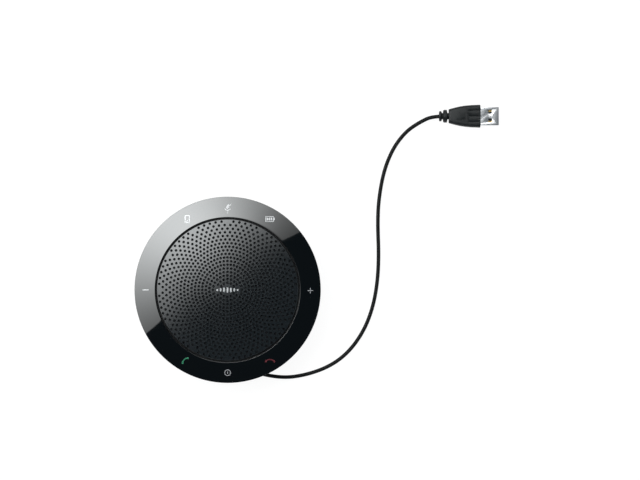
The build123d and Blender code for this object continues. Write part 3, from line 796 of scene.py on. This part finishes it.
def make_grip_pad():
    """Low raised pad on the upper face of the grip: an oblong plate with rounded corners and edges."""
    pad = plug_block("plug_grip_pad", (148.6, -2.3, 3.1), (154.4, 2.3, 3.72))
    round_edges(pad, 2, 1.0, 5)
    bevel(pad, 0.16 * MM, 3, 40)
    smooth(pad, 40)
    return add_piece(pad, "root", "plug_plastic")


def make_usb_shell():
    """Folded metal shell: rounded box with walls, two windows above and below and a seam underneath."""
    front, wide, high, wall = 175.9, 6.0, 2.25, 0.35
    shell = plug_block("usb_shell", (160.2, -wide, -high), (front, wide, high))
    round_edges(shell, 0, 0.55, 5)
    inside = plug_block("inside", (160.8, wall - wide, wall - high), (front + 1, wide - wall, high - wall))
    bevel(inside, 0.25 * MM, 3, 60)
    cut(shell, inside)
    for side in (-2.8, 2.8):
        window = plug_block("window", (169.1, side - 1.2, -4.8), (171.5, side + 1.2, 5.2))
        bevel(window, 0.15 * MM, 2, 60)
        cut(shell, window)
    cut(shell, plug_block("seam", (164.5, -0.04, -3.3), (front + 1, 0.04, -1.8)))
    bevel(shell, 0.05 * MM, 2, 60)
    smooth(shell, 35)
    return add_piece(shell, "root", "plug_metal", ("plug_shell",))


def make_drum_relief():
    """Ribbed sleeve that carries the lead out of the drum's wall and along it."""
    outline = [(1.3, 0.0, 0), (1.45, 0.0, 0), (1.55, -0.6, 0.1), (1.42, -0.9, 0.1), (1.42, -1.5, 0.1),
               (1.7, -1.8, 0.1), (1.7, -2.6, 0.1), (1.5, -2.9, 0.1), (1.5, -3.6, 0.1), (1.85, -3.9, 0.1),
               (1.9, -8.6, 0.3), (1.3, -8.9, 0)]
    sleeve = turned("drum_strain_relief", rounded(outline), 48)
    sleeve.rotation_euler = (-pi / 2, 0, START_ANGLE)
    sleeve.location = around(START_ANGLE, WINDING_R, START_Z)
    apply_place(sleeve)
    return add_piece(sleeve, "root", "cord_jacket", ("cord_grommet",))


# ================================================================ symbols
SYMBOL_DEPTH = 0.12               # thickness of a symbol's window, mm


def bar(ax, ay, bx, by, pen):
    """Straight stroke between two places in mm, with rounded ends."""
    length = hypot(bx - ax, by - ay) + pen
    deselect_all()
    bpy.ops.mesh.primitive_cube_add(size=1, location=((ax + bx) / 2 * MM, (ay + by) / 2 * MM, 0),
                                    rotation=(0, 0, atan2(by - ay, bx - ax)),
                                    scale=(length * MM, pen * MM, SYMBOL_DEPTH * MM))
    stroke = bpy.context.object
    apply_place(stroke)
    return round_edges(stroke, 2, 0.49 * pen, 4)


def arc(cx, cy, radius, start_angle, end_angle, pen):
    """Curved stroke: a flat section is spun about the arc's centre. Degrees, mm."""
    sweep = radians(end_angle - start_angle)
    deselect_all()
    bpy.ops.mesh.primitive_plane_add(size=1, location=(radius * MM, 0, 0), rotation=(pi / 2, 0, 0))
    stroke = start("arc")
    bpy.ops.transform.resize(value=(pen * MM, 1, SYMBOL_DEPTH * MM), center_override=(radius * MM, 0, 0))
    bpy.ops.object.mode_set(mode="OBJECT")
    apply_place(stroke)
    bpy.ops.object.mode_set(mode="EDIT")
    bpy.ops.mesh.select_all(action="SELECT")
    bpy.ops.mesh.spin(steps=max(4, ceil(abs(end_angle - start_angle) / 10)), angle=-sweep, center=(0, 0, 0),
                      axis=(0, 0, 1))
    bpy.ops.object.mode_set(mode="OBJECT")
    stroke.rotation_euler = (0, 0, radians(start_angle))
    stroke.location = (cx * MM, cy * MM, 0)
    apply_place(stroke)
    return merge_and_face_out(stroke, 2e-6)


def disc(cx, cy, radius):
    deselect_all()
    bpy.ops.mesh.primitive_cylinder_add(vertices=28, radius=radius * MM, depth=SYMBOL_DEPTH * MM,
                                        location=(cx * MM, cy * MM, 0))
    return apply_place(bpy.context.object)


def symbol(name, angle, radius, strokes, material):
    """Unites the strokes, sets them at their place on the ring and lays them on its curved top."""
    shape = joined("symbol_" + name, strokes)
    shape.location = around(radians(angle), radius * MM)
    apply_place(shape)
    apply_modifier(shape, "TRIANGULATE")
    for vertex in shape.data.vertices:
        vertex.co.z += key_height(hypot(vertex.co.x, vertex.co.y)) - 0.01 * MM
    smooth(shape, 30)
    return add_piece(shape, "key_ring", "key_gloss", material=material)


def make_symbols():
    # volume up and power take the white print with painted shade, battery and mute the white print with
    # painted half shade
    symbol("volume_up", -0.5, 53.3, [bar(-1.6, 0, 1.6, 0, 0.5), bar(0, -1.6, 0, 1.6, 0.5)], SYMBOL_WHITE_PAINTED_SHADE)
    symbol("volume_down", 180, 52.8, [bar(-1.8, 0, 1.8, 0, 0.5)], SYMBOL_WHITE)
    frame_bars = [bar(-2.7, -1.55, 2.2, -1.55, 0.5), bar(2.2, -1.55, 2.2, 1.55, 0.5),
                  bar(2.2, 1.55, -2.7, 1.55, 0.5), bar(-2.7, 1.55, -2.7, -1.55, 0.5),
                  bar(2.7, -0.5, 2.7, 0.5, 0.75)]
    cells = [bar(x, -0.45, x, 0.45, 0.95) for x in (-1.55, -0.25, 1.05)]
    symbol("battery_frame", 59.1, 53.2, frame_bars, SYMBOL_WHITE_PAINTED_HALF_SHADE)
    symbol("battery_cells", 59.1, 53.2, cells, SYMBOL_WHITE_PAINTED_HALF_SHADE)
    symbol("mute_head", 90, 52.4, [bar(-0.1, 0.5, 0.3, 1.75, 1.6)], SYMBOL_WHITE_PAINTED_HALF_SHADE)
    symbol("mute_cradle", 90, 52.4, [arc(0, 0.55, 1.75, 195, 345, 0.5), bar(0, -1.1, 0, -2.9, 0.5)],
           SYMBOL_WHITE_PAINTED_HALF_SHADE)
    symbol("mute_stroke", 90, 52.4, [bar(1.35, 1.75, 2.05, 2.75, 0.5)], SYMBOL_WHITE_PAINTED_HALF_SHADE)
    phone = [bar(-0.9, -2.2, 0.9, -2.2, 0.6), bar(1.35, -1.8, 1.35, 1.8, 0.6), bar(0.9, 2.2, -0.9, 2.2, 0.6),
             bar(-1.35, 1.8, -1.35, -1.8, 0.6), arc(0.9, 1.75, 0.45, 0, 90, 0.6),
             arc(-0.9, 1.75, 0.45, 90, 180, 0.6), arc(-0.9, -1.75, 0.45, 180, 270, 0.6),
             arc(0.9, -1.75, 0.45, 270, 360, 0.6)]
    symbol("wireless_phone", 119.6, 52.5, phone, SYMBOL_WHITE)
    symbol("wireless_dot", 119.6, 52.5, [disc(0, -1.15, 0.4)], SYMBOL_WHITE)
    symbol("answer", 238.6, 52.9, [arc(2.0, -2.2, 3.4, 95, 172, 0.75), bar(1.45, 1.15, 2.1, 1.15, 1.15),
                                   bar(-1.45, -2.0, -1.4, -1.45, 1.15)], SYMBOL_GREEN)
    half = SYMBOL_DEPTH / 2
    symbol("power_ring", 270, 53.3,
           [turned("ring", [(1.6, -half), (2.1, -half), (2.1, half), (1.6, half)], 48)], SYMBOL_WHITE_PAINTED_SHADE)
    symbol("power_bar", 270, 53.3, [bar(0, -0.6, 0, 0.6, 0.5)], SYMBOL_WHITE_PAINTED_SHADE)
    symbol("end", 301, 53.0, [arc(0, -3.3, 3.9, 48, 132, 0.75), bar(2.75, -0.75, 2.6, -0.3, 1.15),
                              bar(-2.75, -0.75, -2.6, -0.3, 1.15)], SYMBOL_RED)


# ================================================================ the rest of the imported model
def dress_packed_nodes():
    """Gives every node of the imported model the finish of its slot."""
    for entry in frame["record"]["subparts"]:
        node = frame["nodes"].get(entry["node"])
        if node:
            dress(node, FINISHES[entry["material_slot"]])


# ================================================================ studio
PEAK_BEARING = 130.5              # bearing at which the overhead card is brightest, degrees


class Glow(Finish):
    """Light-giving surface of a studio card."""

    def __init__(self, name):
        super().__init__(name)
        self.tree.nodes.remove(self.shader)
        self.emission = self.tree.nodes.new("ShaderNodeEmission")
        self.tree.links.new(self.emission.outputs[0], self.tree.nodes["Material Output"].inputs[0])


def make_floor():
    deselect_all()
    bpy.ops.mesh.primitive_plane_add(size=8, location=(0, 0, 0))
    floor = bpy.context.object
    floor.name = "floor"
    f = Finish("floor", roughness=0.9, specular_ior_level=0.1)
    cloud = f.noise(3.0)
    f.set(base_color=f.mix(cloud, (0.10, 0.10, 0.10), (0.12, 0.12, 0.12)),
          emission_color=(1, 1, 1), emission_strength=0.94)
    dress(floor, f.material)


def make_soft_card():
    """Large overhead card on the far left: straight near edge, brightest along one bearing."""
    bearing, edge, strength = radians(123.4), 0.044, 8.1
    wide, deep, height = 1.6, 0.7, 1.0
    spread = radians(41.3)
    deselect_all()
    bpy.ops.mesh.primitive_plane_add(size=1, location=(0, edge + deep / 2, height))
    card = start("soft_card")
    bpy.ops.transform.resize(value=(wide, deep, 1), center_override=(0, edge + deep / 2, height))
    bpy.ops.object.mode_set(mode="OBJECT")
    apply_place(card)
    card.rotation_euler = (0, 0, bearing - pi / 2)
    glow = Glow("soft_card")
    x, y, _ = glow.axes()
    peak = radians(PEAK_BEARING) - bearing
    swing = glow.node("Math", {"operation": "ARCTAN2"}, x * cos(peak) + y * sin(peak),
                      y * cos(peak) - x * sin(peak))
    reach = (x * x + y * y) ** 0.5
    narrow = glow.node("MapRange", {"interpolation_type": "SMOOTHSTEP"}, reach, 0.22, 0.25, 1.45, 1.0)
    fade = glow.node("Math", {"operation": "EXPONENT"}, swing * swing * narrow * (-0.5 / spread ** 2))
    rise = glow.node("MapRange", {"interpolation_type": "SMOOTHSTEP"}, reach, 0.0, 0.27, 0.06, 1.0)
    glow.plug(glow.emission.inputs["Color"], (0.955, 0.985, 0.99))
    glow.plug(glow.emission.inputs["Strength"], fade * rise * strength)
    dress(card, glow.material)
    card.visible_camera = False


def add_area(name, bearing, lift, size, power, colour=(1.0, 1.0, 1.0)):
    """Round soft light aimed at the puck from a bearing and a height angle in degrees; metres, watts."""
    distance = 1.6
    data = bpy.data.lights.new(name, "AREA")
    data.shape, data.size, data.energy, data.color = "DISK", size, power, colour
    light = bpy.data.objects.new(name, data)
    place = Vector(around(radians(bearing), distance * cos(radians(lift)), distance * sin(radians(lift))))
    light.location = place
    light.rotation_euler = (-place).to_track_quat("-Z", "Y").to_euler()
    bpy.context.scene.collection.objects.link(light)


def make_world():
    """White surround that fades to a dark blue-grey overhead."""
    world = bpy.data.worlds.new("surround")
    world.use_nodes = True
    tree = world.node_tree
    bpy.context.scene.world = world
    coords = tree.nodes.new("ShaderNodeTexCoord")
    split = tree.nodes.new("ShaderNodeSeparateXYZ")
    ramp = tree.nodes.new("ShaderNodeValToRGB")
    ramp.color_ramp.elements[0].position = 0.10
    ramp.color_ramp.elements[0].color = (1.0, 1.0, 1.0, 1.0)
    ramp.color_ramp.elements[1].position = 0.40
    ramp.color_ramp.elements[1].color = (0.034, 0.049, 0.060, 1.0)
    tree.links.new(coords.outputs["Generated"], split.inputs[0])
    tree.links.new(split.outputs[2], ramp.inputs[0])
    tree.links.new(ramp.outputs[0], tree.nodes["Background"].inputs[0])
    tree.nodes["Background"].inputs[1].default_value = 1.1


def light_scene():
    make_floor()
    make_soft_card()
    make_world()
    cool = (0.78, 0.9, 1.0)
    add_area("left_box", 170, 26, 0.9, 4)
    add_area("back_box", 80, 26, 0.9, 3)
    add_area("right_box", 350, 22, 0.9, 1.8, cool)
    add_area("front_box", 265, 22, 0.9, 2.2, cool)
    bpy.context.scene.view_settings.view_transform = "Standard"
    bpy.context.scene.view_settings.look = "None"


# ================================================================ making
dress_packed_nodes()
make_dome()
make_key_ring()
make_trim_ring()
make_skirt()
make_base()
make_foot()
make_drum()
collar = make_collar()
grip = make_grip()
pad = make_grip_pad()
usb_shell = make_usb_shell()
drum_relief = make_drum_relief()
make_symbols()
light_scene()
deselect_all()
